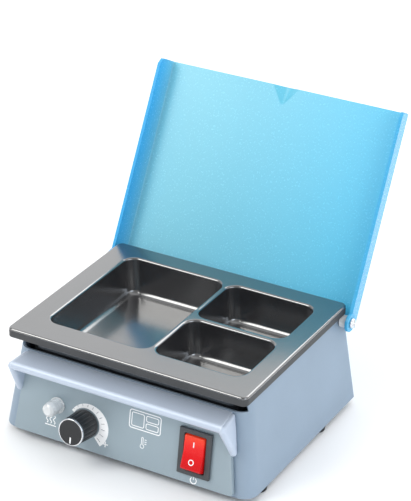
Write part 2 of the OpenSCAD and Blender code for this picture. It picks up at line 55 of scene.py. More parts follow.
TRAY_D = (TRAY_HIGH.y - TRAY_LOW.y) / MM
TRAY_Z = TRAY_HIGH.z / MM
PANEL_TILT = 9
PANEL_T = 3.4
PANEL_W = 158
PANEL_FOOT = (0, -5, 6.6)
LID_OPEN = 119
PIVOT = (0, 129.5, 64)
REAR_SLOPE = 0.055
INLET = (40, 139.503, 32)
KNOB_AT = (-26.5, 17.9)
LAMP_AT = (-47.6, 24.2)
SWITCH_AT = (51.8, 21.4)
SWITCH_CUT = (19.6, 28.2)
BUSH_HOLE_R = 5.1
LAMP_HOLE_R = 4.1
ARC_STEPS = 8

POT = Matrix.Translation((0, TRAY_LOW.y, 0)) @ Matrix.Scale(MM, 4)


def turned(origin, angle):
    """The pot's frame moved to origin and turned about X."""
    return POT @ Matrix.Translation(origin) @ Matrix.Rotation(math.radians(angle), 4, "X")


PANEL = turned(PANEL_FOOT, -PANEL_TILT)
LID = turned(PIVOT, -LID_OPEN)
REAR = turned(INLET, math.degrees(math.atan(REAR_SLOPE)))


def on_panel(spot, face=0.0):
    """The panel's frame moved to a spot on it, with +Z out of the panel and +Y up it."""
    return PANEL @ Matrix.Translation((spot[0], -face, spot[1])) @ Matrix.Rotation(math.pi / 2, 4, "X")


# ---------------------------------------------------------------- mesh helpers
def arc(cx, cy, r, start, sweep, steps=ARC_STEPS):
    angles = [math.radians(start + sweep * i / steps) for i in range(steps + 1)]
    return [(cx + r * math.cos(a), cy + r * math.sin(a)) for a in angles]


def outline(x0, x1, y0, y1, front_r, rear_r=None, steps=ARC_STEPS):
    """A rectangle with rounded corners, counter-clockwise from its front left corner."""
    rear_r = front_r if rear_r is None else rear_r
    return (arc(x0 + front_r, y0 + front_r, front_r, 180, 90, steps)
            + arc(x1 - front_r, y0 + front_r, front_r, 270, 90, steps)
            + arc(x1 - rear_r, y1 - rear_r, rear_r, 0, 90, steps)
            + arc(x0 + rear_r, y1 - rear_r, rear_r, 90, 90, steps))


def ring(bm, points, z):
    return [bm.verts.new((x, y, z)) for x, y in points]


def band(bm, low, high, closed=True):
    count = len(low)
    for i in range(count if closed else count - 1):
        j = (i + 1) % count
        bm.faces.new((low[i], low[j], high[j], high[i]))


def loft(bm, rings, cap_first=True, cap_last=True):
    for a, b in zip(rings, rings[1:]):
        band(bm, a, b)
    if cap_first:
        bm.faces.new(rings[0][::-1])
    if cap_last:
        bm.faces.new(rings[-1])


def lathe(bm, profile, sides=64, centre=(0, 0), radius=None):
    """A turned solid about Z. profile holds (radius, height); radius(angle, r, h) may shape it."""
    shape = radius or (lambda angle, r, h: r)
    rings = []
    for r, h in profile:
        angles = [2 * math.pi * i / sides for i in range(sides)]
        rings.append([bm.verts.new((centre[0] + shape(a, r, h) * math.cos(a),
                                    centre[1] + shape(a, r, h) * math.sin(a), h)) for a in angles])
    loft(bm, rings)


def tube(bm, profile, sides=64):
    """A turned ring about Z: profile is a closed loop of (radius, height)."""
    rings = [[bm.verts.new((r * math.cos(2 * math.pi * i / sides),
                            r * math.sin(2 * math.pi * i / sides), h)) for i in range(sides)]
             for r, h in profile]
    for a, b in zip(rings, rings[1:] + rings[:1]):
        band(bm, a, b)


def prism(bm, points, z0, z1):
    loft(bm, [ring(bm, points, z0), ring(bm, points, z1)])


def block(bm, low, high):
    prism(bm, [(low[0], low[1]), (high[0], low[1]), (high[0], high[1]), (low[0], high[1])],
          low[2], high[2])


def fillet(points, r, steps=6):
    """An open polyline with each inner corner turned into an arc of radius r."""
    out = [points[0]]
    for a, b, c in zip(points, points[1:], points[2:]):
        a, b, c = Vector(a), Vector(b), Vector(c)
        back, on = (a - b).normalized(), (c - b).normalized()
        half = back.angle(on) / 2
        centre = b + (back + on).normalized() * (r / math.sin(half))
        start = b + back * (r / math.tan(half)) - centre
        end = b + on * (r / math.tan(half)) - centre
        for i in range(steps + 1):
            way = start.slerp(end, i / steps) if start.length else start
            out.append(tuple(centre + way))
    return out + [points[-1]]


X_AXIS = Matrix.Rotation(math.pi / 2, 4, "Y")


def piece(name, bm, place, material, body, stands_for=(), bevel=0.0, sharp=35, segments=3,
          thickness=0.0, cutters=()):
    """Turns a bmesh in local millimetres into a finished piece that rides on a body."""
    bmesh.ops.remove_doubles(bm, verts=bm.verts, dist=1e-5)
    bmesh.ops.recalc_face_normals(bm, faces=bm.faces)
    bmesh.ops.transform(bm, matrix=place, verts=bm.verts)
    mesh = bpy.data.meshes.new(name)
    bm.to_mesh(mesh)
    bm.free()
    return finished(name, mesh, material, body, stands_for, bevel, sharp, segments,
                    thickness, cutters)


def finished(name, mesh, material, body, stands_for, bevel, sharp, segments, thickness,
             cutters):
    mesh.shade_smooth()
    mesh.set_sharp_from_angle(angle=math.radians(sharp))
    obj = bpy.data.objects.new(name, mesh)
    bpy.context.collection.objects.link(obj)
    if thickness:
        solid = obj.modifiers.new("wall", "SOLIDIFY")
        solid.thickness = abs(thickness) * MM
        solid.offset = math.copysign(1, thickness)
        solid.use_even_offset = True
    for tool in cutters:
        cut = obj.modifiers.new("cut", "BOOLEAN")
        cut.operation = "DIFFERENCE"
        cut.solver = "EXACT"
        cut.object = tool
    if bevel:
        edge = obj.modifiers.new("edge", "BEVEL")
        edge.width = bevel * MM
        edge.segments = segments
        edge.limit_method = "ANGLE"
        edge.angle_limit = math.radians(sharp)
        edge.use_clamp_overlap = True
        edge.miter_outer = "MITER_ARC"
    shade = obj.modifiers.new("shade", "WEIGHTED_NORMAL")
    shade.keep_sharp = True
    bpy.context.view_layer.update()
    graph = bpy.context.evaluated_depsgraph_get()
    final = bpy.data.meshes.new_from_object(obj.evaluated_get(graph))
    obj.modifiers.clear()
    obj.data = final
    final.name = name
    final.materials.clear()
    final.materials.append(material)
    for tool in cutters:
        bpy.data.objects.remove(tool)
    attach(obj, body)
    if stands_for:
        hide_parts(*stands_for)
    return obj


def cutter(bm, place):
    bmesh.ops.recalc_face_normals(bm, faces=bm.faces)
    bmesh.ops.transform(bm, matrix=place, verts=bm.verts)
    mesh = bpy.data.meshes.new("cutter")
    bm.to_mesh(mesh)
    bm.free()
    obj = bpy.data.objects.new("cutter", mesh)
    bpy.context.collection.objects.link(obj)
    return obj


def refined(node, material, body, bevel=0.25, sharp=30):
    """The CAD node's own shape with its flats joined up and its edges broken."""
    bm = bmesh.new()
    bm.from_mesh(frame["nodes"][node].data)
    bmesh.ops.remove_doubles(bm, verts=bm.verts, dist=1e-6)
    bmesh.ops.dissolve_limit(bm, angle_limit=math.radians(1), verts=bm.verts, edges=bm.edges)
    mesh = bpy.data.meshes.new(node + "_body")
    bm.to_mesh(mesh)
    bm.free()
    return finished(node + "_body", mesh, material, body, [node], bevel, sharp, 2, 0, ())


# ---------------------------------------------------------------- materials
def node_of(tree, kind, **inputs):
    made = tree.nodes.new(kind)
    for key, value in inputs.items():
        made.inputs[key.replace("_", " ")].default_value = value
    return made


def noise(tree, coords, scale, detail=4, stretch=None):
    made = node_of(tree, "ShaderNodeTexNoise", Scale=scale, Detail=detail)
    source = coords
    if stretch:
        mapping = tree.nodes.new("ShaderNodeMapping")
        mapping.inputs["Scale"].default_value = stretch
        tree.links.new(coords, mapping.inputs["Vector"])
        source = mapping.outputs["Vector"]
    tree.links.new(source, made.inputs["Vector"])
    return made.outputs["Fac"]


def between(tree, value, low, high, start=0.3, stop=0.7):
    made = node_of(tree, "ShaderNodeMapRange")
    made.inputs["From Min"].default_value = start
    made.inputs["From Max"].default_value = stop
    made.inputs["To Min"].default_value = low
    made.inputs["To Max"].default_value = high
    tree.links.new(value, made.inputs["Value"])
    return made.outputs["Result"]


def blended(tree, factor, a, b):
    made = tree.nodes.new("ShaderNodeMix")
    made.data_type = "RGBA"
    for index, value in ((6, a), (7, b)):
        if isinstance(value, bpy.types.NodeSocket):
            tree.links.new(value, made.inputs[index])
        else:
            made.inputs[index].default_value = (*value, 1)
    tree.links.new(factor, made.inputs[0])
    return made.outputs[2]


def edges(tree, radius):
    """1 along convex and concave edges within radius, 0 on the flats."""
    bevel = tree.nodes.new("ShaderNodeBevel")
    bevel.samples = 4
    bevel.inputs["Radius"].default_value = radius
    flat = tree.nodes.new("ShaderNodeNewGeometry")
    dot = tree.nodes.new("ShaderNodeVectorMath")
    dot.operation = "DOT_PRODUCT"
    tree.links.new(bevel.outputs[0], dot.inputs[0])
    tree.links.new(flat.outputs["Normal"], dot.inputs[1])
    return between(tree, dot.outputs["Value"], 1, 0, 0.8, 0.995)


def finish(name, colour, rough=0.4, metallic=0.0, spread=0.08, patch=60, grain=1500, bump=0.05,
           rough_spread=0.08, stretch=None, highlight_colour=None, highlight_width=0.4, highlight_strength=0.5, constants=()):
    """A procedural finish: colour drifts over patches, grain roughens it and a painted highlight may
    lighten its edges.
    """
    material = bpy.data.materials.new(name)
    material.use_nodes = True
    tree = material.node_tree
    shader = tree.nodes["Principled BSDF"]
    coords = tree.nodes.new("ShaderNodeTexCoord").outputs["Object"]
    drift = noise(tree, coords, patch, 5)
    dark = [c * (1 - spread) for c in colour]
    light = [min(1, c * (1 + spread)) for c in colour]
    tint = blended(tree, between(tree, drift, 0, 1), dark, light)
    fine = noise(tree, coords, grain, 3, stretch)
    roughness = between(tree, fine, max(0.02, rough - rough_spread), min(1, rough + rough_spread))
    # Painted highlight: a lighter colour laid along convex and concave edges.
    if highlight_colour:
        highlight_mix = tree.nodes.new("ShaderNodeMath")
        highlight_mix.operation = "MULTIPLY"
        tree.links.new(edges(tree, highlight_width * MM), highlight_mix.inputs[0])
        tree.links.new(between(tree, drift, 0.4 * highlight_strength, highlight_strength), highlight_mix.inputs[1])
        tint = blended(tree, highlight_mix.outputs[0], tint, highlight_colour)
    tree.links.new(tint, shader.inputs["Base Color"])
    tree.links.new(roughness, shader.inputs["Roughness"])
    relief = node_of(tree, "ShaderNodeBump", Strength=bump, Distance=0.0002)
    tree.links.new(fine, relief.inputs["Height"])
    tree.links.new(relief.outputs["Normal"], shader.inputs["Normal"])
    shader.inputs["Metallic"].default_value = metallic
    for socket, value in constants:
        shader.inputs[socket].default_value = value
    return material


def tint_across(material, stops, axis="X"):
    """Sets the colour along an axis, in metres, here to paint light and shade across a part, and keeps
    the drift as a faint mottle.
    """
    tree = material.node_tree
    shader = tree.nodes["Principled BSDF"]
    old = shader.inputs["Base Color"].links[0].from_socket
    split = tree.nodes.new("ShaderNodeSeparateXYZ")
    tree.links.new(tree.nodes.new("ShaderNodeTexCoord").outputs["Object"], split.inputs[0])
    low, high = stops[0][0], stops[-1][0]
    ramp = tree.nodes.new("ShaderNodeValToRGB")
    tree.links.new(between(tree, split.outputs[axis], 0, 1, low, high), ramp.inputs["Fac"])
    points = ramp.color_ramp.elements
    while len(points) < len(stops):
        points.new(0.5)
    for point, (x, colour) in zip(points, stops):
        point.position = (x - low) / (high - low)
        point.color = (*colour, 1)
    even = node_of(tree, "ShaderNodeValue")
    even.outputs[0].default_value = 0.85
    tint = blended(tree, even.outputs[0], old, ramp.outputs["Color"])
    tree.links.new(tint, shader.inputs["Base Color"])


# The lighter colour each finish below lays along its edges is a painted edge highlight.
PAINT = finish("satin_paint", (0.275, 0.352, 0.44), rough=0.5, metallic=0.25, spread=0.04, patch=25,
               grain=6000, bump=0.10, highlight_colour=(0.60, 0.69, 0.76), highlight_strength=0.6)
# Painted light: the housing paint again, made lighter and greener for the light on the front panel.
PANEL_LIT_PAINT = finish("panel_lit_paint", (0.315, 0.39, 0.435), rough=0.5, metallic=0.25, spread=0.04,
                     patch=25, grain=6000, bump=0.10, highlight_colour=(0.66, 0.74, 0.80), highlight_strength=0.6)
# Painted light: a much lighter copy of the paint for the hood and its cheeks, with a broad painted
# highlight along the ridge.
HOOD_LIT_PAINT = finish("hood_lit_paint", (0.50, 0.57, 0.68), rough=0.45, metallic=0.2, spread=0.04, patch=25,
                    grain=6000, bump=0.08, highlight_colour=(0.84, 0.90, 0.98), highlight_strength=1, highlight_width=2.2,
                    constants=[("Coat Weight", 0.2), ("Coat Roughness", 0.3)])
COATING = finish("black_coating", (0.014, 0.014, 0.016), rough=0.22, spread=0.25, patch=40, grain=2500,
                 bump=0.06, rough_spread=0.05, highlight_colour=(0.16, 0.17, 0.19), highlight_strength=0.6, highlight_width=0.6,
                 constants=[("IOR", 2.0), ("Coat Weight", 1), ("Coat IOR", 1.9),
                            ("Coat Roughness", 0.16)])
# Painted shade: a matt copy of the black coating for the flange's outer face, coloured to the even dark
# grey that face shows, in place of a reflection.
SHADED_EDGE_COATING = finish("coating_edge_shaded", (0.045, 0.047, 0.05), rough=0.55, spread=0.15, patch=40,
                      grain=2500, bump=0.1, highlight_colour=(0.12, 0.125, 0.13), highlight_strength=0.5, highlight_width=0.5)
ACRYLIC = finish("lid_acrylic", (0.19, 0.64, 0.83), rough=0.25, spread=0.03, patch=12, grain=900,
                 bump=0.02, rough_spread=0.04, highlight_colour=(0.62, 0.90, 0.98), highlight_strength=0.8, highlight_width=0.8,
                 constants=[("Transmission Weight", 0.1), ("IOR", 1.45)])
# Painted light and shade across the lid: paler to the left and deeper blue to the right, the lips deep
# blue where seen edge-on, and a pale band at the left fold as a painted highlight.
tint_across(ACRYLIC, [(-0.092, (0.03, 0.40, 0.86)), (-0.0875, (0.03, 0.42, 0.87)),
                      (-0.085, (0.26, 0.66, 0.78)), (-0.02, (0.17, 0.58, 0.75)),
                      (0.05, (0.10, 0.56, 0.80)), (0.085, (0.06, 0.55, 0.84)),
                      (0.0875, (0.05, 0.43, 0.78)), (0.092, (0.05, 0.42, 0.76))])
BLACK_PLASTIC = finish("knob_plastic", (0.010, 0.011, 0.013), rough=0.38, spread=0.2, grain=4000,
                       bump=0.1, highlight_colour=(0.10, 0.10, 0.11), highlight_strength=0.5)
DARK_PLASTIC = finish("switch_plastic", (0.055, 0.06, 0.066), rough=0.45, spread=0.12, grain=5000,
                      bump=0.2, highlight_colour=(0.17, 0.18, 0.19), highlight_strength=0.5)
RED_PLASTIC = finish("rocker_red", (0.60, 0.004, 0.010), rough=0.25, spread=0.06, patch=150,
                     grain=3000, bump=0.03,
                     constants=[("Specular IOR Level", 0.3), ("Emission Color", (1, 0.03, 0.01, 1)),
                                ("Emission Strength", 0.10)])
# Painted highlight and shade: the cap is painted lighter and oranger towards its top and darker towards
# its foot. The whole cap also glows faintly red.
tint_across(RED_PLASTIC, [(0.016, (0.42, 0.002, 0.008)), (0.026, (0.62, 0.003, 0.008)),
                          (0.033, (0.72, 0.006, 0.008)), (0.039, (0.86, 0.06, 0.02))], "Z")
WHITE_INK = finish("white_print", (0.96, 0.97, 0.98), rough=0.55, spread=0.04, grain=6000, bump=0.12)
GREY_INK = finish("grey_print", (0.22, 0.24, 0.27), rough=0.6, spread=0.05, grain=6000, bump=0.1)
CLEAR = finish("clear_lens", (0.95, 0.98, 1.0), rough=0.08, spread=0.03, grain=2000, bump=0.02,
               rough_spread=0.03, highlight_colour=(1, 1, 1), highlight_strength=0.8, highlight_width=0.5,
               constants=[("Transmission Weight", 0.35), ("IOR", 1.45),
                          ("Coat Weight", 0.6)])
BRIGHT = finish("bright_steel", (0.78, 0.79, 0.81), rough=0.16, metallic=1, spread=0.04, grain=3000,
                bump=0.04, stretch=(1, 8, 1))
STEEL = finish("screw_steel", (0.58, 0.59, 0.61), rough=0.3, metallic=1, spread=0.06, grain=3000,
               bump=0.1, stretch=(1, 6, 1))
ZINC = finish("zinc_steel", (0.55, 0.56, 0.58), rough=0.38, metallic=1, spread=0.12, patch=120,
              grain=1200, bump=0.08, highlight_colour=(0.75, 0.76, 0.78), highlight_strength=0.4)
ALUMINIUM = finish("cast_aluminium", (0.62, 0.63, 0.64), rough=0.45, metallic=1, spread=0.06, grain=900,
                   bump=0.25)
SHEATH = finish("element_sheath", (0.16, 0.14, 0.13), rough=0.5, metallic=0.9, spread=0.3, patch=90,
                grain=1500, bump=0.2)
BRASS = finish("brass_parts", (0.72, 0.52, 0.22), rough=0.3, metallic=1, spread=0.1, grain=2000,
               bump=0.1)
COPPER = finish("copper_bulb", (0.62, 0.32, 0.2), rough=0.35, metallic=1, spread=0.15, grain=2000,
                bump=0.1)
FIBRE = finish("mineral_fibre", (0.78, 0.75, 0.66), rough=0.95, spread=0.12, patch=200, grain=1800,
               bump=0.8)
CREAM = finish("cream_plastic", (0.74, 0.71, 0.60), rough=0.5, spread=0.05, grain=3000, bump=0.1)
NYLON = finish("white_nylon", (0.83, 0.84, 0.83), rough=0.42, spread=0.04, grain=2500, bump=0.08)
RUBBER = finish("foot_rubber", (0.012, 0.012, 0.014), rough=0.75, spread=0.3, patch=200, grain=3500,
                bump=0.35, highlight_colour=(0.05, 0.05, 0.055), highlight_strength=0.6)
INLET_PLASTIC = finish("inlet_plastic", (0.02, 0.02, 0.022), rough=0.5, spread=0.15, grain=5000,
                       bump=0.25, highlight_colour=(0.09, 0.09, 0.095), highlight_strength=0.5)
FUSE_GLASS = finish("fuse_glass", (0.9, 0.92, 0.93), rough=0.05, spread=0.02, grain=1500, bump=0.02,
                    constants=[("Transmission Weight", 0.8)])
BROWN = finish("wire_brown", (0.16, 0.07, 0.035), rough=0.5, spread=0.1, grain=2500, bump=0.1)
BLUE = finish("wire_blue", (0.03, 0.09, 0.42), rough=0.5, spread=0.1, grain=2500, bump=0.1)
WHITE = finish("wire_white", (0.8, 0.8, 0.77), rough=0.55, spread=0.06, grain=2500, bump=0.1)

BY_SLOT = {"housing_paint": PAINT, "fascia_paint": PANEL_LIT_PAINT, "zinc_steel": ZINC, "screw_steel": STEEL,
           "bright_steel": BRIGHT, "foot_rubber": RUBBER, "white_print": WHITE_INK,
           "tray_coating": COATING, "cast_aluminium": ALUMINIUM, "element_sheath": SHEATH,
           "brass_parts": BRASS, "mineral_fibre": FIBRE, "cream_plastic": CREAM,
           "copper_bulb": COPPER, "knob_plastic": BLACK_PLASTIC, "clear_lens": CLEAR,
           "switch_plastic": DARK_PLASTIC, "rocker_red": RED_PLASTIC, "lid_acrylic": ACRYLIC,
           "white_nylon": NYLON, "inlet_plastic": INLET_PLASTIC, "fuse_glass": FUSE_GLASS,
           "wire_brown": BROWN, "wire_blue": BLUE, "wire_white": WHITE}


def paint_carried_nodes():
    slots = {s["node"]: s["material_slot"] for s in frame["record"]["subparts"]}
    for name, obj in frame["nodes"].items():
        obj.data.materials.clear()
        obj.data.materials.append(BY_SLOT[slots[name]])


# ---------------------------------------------------------------- housing
SKIRT_Z = 4.6
RIM_Z = 69.3
NOTCH_Z = 59.3
NOTCH_Y = 11
SKIRT_W = 180
RIM_W = 163
SKIRT_FRONT_Y = -1.8
SKIRT_REAR_Y = 141
SHEET_T = 2
SIDE_SLOPE = (SKIRT_W - RIM_W) / 2 / (RIM_Z - SKIRT_Z)
FRONT_SLOPE = math.tan(math.radians(PANEL_TILT))
INLET_CUT = (27.6, 29.6)
HINGE_HOLE_R = 2.1
BOSS_R = 4.5
BOSS_Z = (6.8, 20.7)
BOSS_X = 79.5
BOSS_Y = (11, 128)


def side_x(z):
    return SKIRT_W / 2 - SIDE_SLOPE * (z - SKIRT_Z)


def front_y(z):
    return SKIRT_FRONT_Y + FRONT_SLOPE * (z - SKIRT_Z)


def rear_y(z):
    return SKIRT_REAR_Y - REAR_SLOPE * (z - SKIRT_Z)


def panel_cutters():
    """The switch's window and the round holes of the dial's bush and the pilot light."""
    hole = bmesh.new()
    block(hole, (-SWITCH_CUT[0] / 2, -5, -SWITCH_CUT[1] / 2), (SWITCH_CUT[0] / 2, 15, SWITCH_CUT[1] / 2))
    cuts = [cutter(hole, PANEL @ Matrix.Translation((SWITCH_AT[0], 0, SWITCH_AT[1])))]
    for spot, r in ((KNOB_AT, BUSH_HOLE_R), (LAMP_AT, LAMP_HOLE_R)):
        hole = bmesh.new()
        lathe(hole, [(r, -12), (r, 5)], 32)
        cuts.append(cutter(hole, on_panel(spot)))
    return cuts


def housing():
    bm = bmesh.new()
    rings = [ring(bm, outline(-side_x(z), side_x(z), front_y(z), rear_y(z), 10, 4), z)
             for z in (SKIRT_Z, 32, NOTCH_Z, RIM_Z)]
    loft(bm, rings, cap_first=False, cap_last=False)
    bmesh.ops.bisect_plane(bm, geom=bm.verts[:] + bm.edges[:] + bm.faces[:],
                           plane_co=(0, NOTCH_Y, 0), plane_no=(0, 1, 0))
    lowered = [f for f in bm.faces
               if f.calc_center_median().y < NOTCH_Y and f.calc_center_median().z > NOTCH_Z]
    bmesh.ops.delete(bm, geom=lowered, context="FACES")
    hole = bmesh.new()
    block(hole, (-INLET_CUT[0] / 2, -10, -INLET_CUT[1] / 2), (INLET_CUT[0] / 2, 10, INLET_CUT[1] / 2))
    cuts = [cutter(hole, REAR)]
    for side in (-1, 1):
        hole = bmesh.new()
        lathe(hole, [(HINGE_HOLE_R, 70), (HINGE_HOLE_R, 95)], 32)
        turn = POT @ Matrix.Translation(PIVOT) @ Matrix.Scale(side, 4, (1, 0, 0)) @ X_AXIS
        cuts.append(cutter(hole, turn))
    cuts += panel_cutters()
    piece("housing_shell", bm, POT, PAINT, "pot", ["housing"], bevel=0.6,
          thickness=-SHEET_T, cutters=cuts)
    bm = bmesh.new()
    for x, y in ((x, y) for y in BOSS_Y for x in (-BOSS_X, BOSS_X)):
        loft(bm, [ring(bm, arc(x, y, BOSS_R, 0, 360, 24)[:-1], z) for z in BOSS_Z])
    piece("housing_bosses", bm, POT, PAINT, "pot", bevel=0.4)


# ---------------------------------------------------------------- fascia
PANEL_TOP = 52
PANEL_CORNER_R = 2
HOOD_Z = 59.8
HOOD_REAR_Z = 58.8
HOOD_FOOT_Z = 48.5
HOOD_TIP_Y = -12.5
HOOD_HALF = 72.5
HOOD_FRONT_HALF = 75.2
NOSE_R = 2.8
NOSE_Y = -12.4 + NOSE_R
HOOD_DROP = HOOD_Z - NOSE_R - 0.9
# A cheek is the skin over four balls: hood rear, hood tip, lower tip and a point on the panel.
CHEEK_BALLS = ((73.4, 4.2, 57.2, 1.7), (74.6, NOSE_Y - 0.4, 55.6, 2.6), (76.5, 0.3, 34.7, 2.2),
               (74.8, 3.2, 47.8, 1.8))


def panel_half(z):
    return PANEL_W / 2 - SIDE_SLOPE * z


def panel_face(z):
    return PANEL_FOOT[1] + (z - PANEL_FOOT[2]) * FRONT_SLOPE


def bezier(a, b, c, d, steps):
    points = []
    for i in range(steps + 1):
        t = i / steps
        weights = ((1 - t) ** 3, 3 * t * (1 - t) ** 2, 3 * t * t * (1 - t), t ** 3)
        points.append(tuple(sum(w * p[k] for w, p in zip(weights, (a, b, c, d))) for k in (0, 1)))
    return points


def fascia():
    bm = bmesh.new()
    low_x = panel_half(PANEL_CORNER_R) - PANEL_CORNER_R
    corners = ([(-panel_half(PANEL_TOP), PANEL_TOP)]
               + arc(-low_x, PANEL_CORNER_R, PANEL_CORNER_R, 180, 90, 4)
               + arc(low_x, PANEL_CORNER_R, PANEL_CORNER_R, 270, 90, 4)
               + [(panel_half(PANEL_TOP), PANEL_TOP)])
    prism(bm, corners, -PANEL_T, 0)
    piece("fascia_panel", bm, on_panel((0, 0)), PANEL_LIT_PAINT, "pot", ["front_fascia"],
          bevel=0.9, segments=4, cutters=panel_cutters())
    bm = bmesh.new()
    foot = (panel_face(HOOD_FOOT_Z) + 0.2, HOOD_FOOT_Z)
    nose = arc(NOSE_Y, HOOD_DROP, NOSE_R, 240, -150, 14)
    start = nose[0]
    sweep = bezier(foot, (foot[0] + 0.7, foot[1] + 3), (start[0] + 4, start[1] - 1), start, 10)
    profile = (sweep[:-1] + nose
               + [(front_y(HOOD_REAR_Z) - 0.1, HOOD_REAR_Z), (front_y(HOOD_FOOT_Z) - 0.3, HOOD_FOOT_Z)])
    rear = front_y(HOOD_REAR_Z)
    flare = (HOOD_FRONT_HALF - HOOD_HALF) / (rear - HOOD_TIP_Y)
    loft(bm, [[bm.verts.new((t * (HOOD_HALF + flare * (rear - y)), y, z)) for y, z in profile]
              for t in (-1, -0.5, 0, 0.5, 1)])
    # The hood and cheeks take the lighter paint: painted light.
    piece("fascia_hood", bm, POT, HOOD_LIT_PAINT, "pot", bevel=0.5)
    for side, name in ((-1, "left"), (1, "right")):
        bm = bmesh.new()
        for x, y, z, r in CHEEK_BALLS:
            bmesh.ops.create_icosphere(bm, subdivisions=4, radius=r,
                                       matrix=Matrix.Translation((side * x, y, z)))
        hull = bmesh.ops.convex_hull(bm, input=bm.verts)
        inside = [g for g in hull["geom_interior"] + hull["geom_unused"]
                  if isinstance(g, bmesh.types.BMVert)]
        bmesh.ops.delete(bm, geom=list(set(inside)), context="VERTS")
        piece("fascia_cheek_" + name, bm, POT, HOOD_LIT_PAINT, "pot", sharp=60)


# ---------------------------------------------------------------- tray
WELL_Y = (20.2, 119.1)
MID_Y = sum(WELL_Y) / 2 + 0.3
WELLS = [((-68.6, 4.8), WELL_Y), ((8.1, 70.7), (WELL_Y[0], MID_Y - 2.25)),
         ((8.1, 70.7), (MID_Y + 2.25, WELL_Y[1]))]
WELL_DEPTH = 24.6
WELL_CORNER_R = 8
WELL_DRAFT = 2.6
RIM_ROLL = 1.5
FLOOR_R = 4.5
FLOOR_CORNER_DROP = 2.5
EDGE_R = 1.4
FLANGE_CORNER_R = 4
RIM_DROP = 6.1
PAN_T = 1.9
TRAY_SKIRT_X = 75
TRAY_SKIRT_Y = (10, 126)
TRAY_SKIRT_Z = (50, 72.8)
TRAY_SKIRT_T = 2


def well_ring(bm, well, inset, r, z):
    (x0, x1), (y0, y1) = well
    return ring(bm, outline(x0 + inset, x1 - inset, y0 + inset, y1 - inset, r), z)


def wax_tray():
    bm = bmesh.new()
    half = TRAY_W / 2

    def flange(inset, z, r):
        return ring(bm, outline(-half + inset, half - inset, inset, TRAY_D - inset, r), z)

    turns = [math.radians(90 * i / 5) for i in range(6)]
    flange_rings = [flange(EDGE_R * (1 - math.sin(a)), TRAY_Z - EDGE_R * (1 - math.cos(a)),
                           FLANGE_CORNER_R - EDGE_R * (1 - math.sin(a)) * 0.8) for a in turns]
    loops = [flange_rings[0]]
    loft(bm, flange_rings, cap_first=False, cap_last=False)
    for well in WELLS:
        rings = [well_ring(bm, well, -RIM_ROLL * (1 - math.sin(a)),
                           WELL_CORNER_R + RIM_ROLL * (1 - math.sin(a)),
                           TRAY_Z - RIM_ROLL * (1 - math.cos(a))) for a in turns]
        floor = TRAY_Z - WELL_DEPTH
        rings.append(well_ring(bm, well, WELL_DRAFT / 2, WELL_CORNER_R, TRAY_Z - WELL_DEPTH / 2))
        for a in turns:
            rings.append(well_ring(bm, well, WELL_DRAFT + FLOOR_R * (1 - math.cos(a)),
                                   WELL_CORNER_R - FLOOR_CORNER_DROP * math.sin(a),
                                   floor + FLOOR_R * (1 - math.sin(a))))
        loops.append(rings[0])
        loft(bm, rings, cap_first=False, cap_last=True)
    verts = [v for loop in loops for v in loop]
    for tri in tessellate_polygon([[v.co.copy() for v in loop] for loop in loops]):
        if len({tri[0], tri[1], tri[2]}) == 3:
            bm.faces.new([verts[i] for i in tri])
    bmesh.ops.recalc_face_normals(bm, faces=bm.faces)
    piece("tray_pan", bm, POT, COATING, "tray", ["wax_tray"],
          thickness=-PAN_T, sharp=50)
    bm = bmesh.new()
    low = TRAY_SKIRT_Z[0]
    walls = [(0, TRAY_SKIRT_Z[1]), (0, low + 0.3), (0.3, low), (TRAY_SKIRT_T - 0.3, low),
             (TRAY_SKIRT_T, low + 0.3), (TRAY_SKIRT_T, TRAY_SKIRT_Z[1])]
    rings = [ring(bm, outline(-TRAY_SKIRT_X + i, TRAY_SKIRT_X - i, TRAY_SKIRT_Y[0] + i,
                              TRAY_SKIRT_Y[1] - i, WELL_CORNER_R - i), z) for i, z in walls]
    for a, b in zip(rings, rings[1:] + rings[:1]):
        band(bm, a, b)
    piece("tray_skirt", bm, POT, COATING, "tray", sharp=50)
    # The flange's outer face takes the matt copy of the coating: painted shade.
    bm = bmesh.new()
    drops = ((0.05, EDGE_R), (0, EDGE_R + 0.05), (0, RIM_DROP - 0.2), (0.4, RIM_DROP), (1.2, RIM_DROP))
    loft(bm, [flange(inset, TRAY_Z - drop, FLANGE_CORNER_R - inset) for inset, drop in drops],
         cap_first=False, cap_last=False)
    piece("tray_rim", bm, POT, SHADED_EDGE_COATING, "tray", sharp=50)


# ---------------------------------------------------------------- lid
LID_D = 12.2
LID_T = 2.18
LIP_H = 14
LIP_SPLAY = math.tan(math.radians(9))
LID_REACH = 137.68
LID_TAIL = 3
INNER_X = 85.6
FOLD_R = 0.8
LIP_CORNER_R = 4
SCOOP_LEN = 13
SCOOP_DIP = 29
SCOOP_HALF_ANGLE = 44
SCOOP_ZONE = (14, 16)
EAR_X = (87.9, 90.1)
EAR_R = 6
EAR_BORE_R = 2.58
BUSH_RECESS_R = 4.7


def scoop_height(x, s):
    """Height of the finger scoop's cone over the sheet, s past its apex."""
    if s <= 0:
        return 0.0
    c, n = math.cos(math.radians(SCOOP_DIP)), math.sin(math.radians(SCOOP_DIP))
    k = math.cos(math.radians(SCOOP_HALF_ANGLE)) ** 2
    a, b, d = n * n - k, -2 * s * c * n, s * s * (c * c - k) - k * x * x
    root = b * b - 4 * a * d
    return max(0.0, (-b - math.sqrt(root)) / (2 * a)) if root > 0 else 0.0


def spaced(a, b, step):
    count = max(1, round(abs(b - a) / step))
    return [a + (b - a) * i / count for i in range(count)]


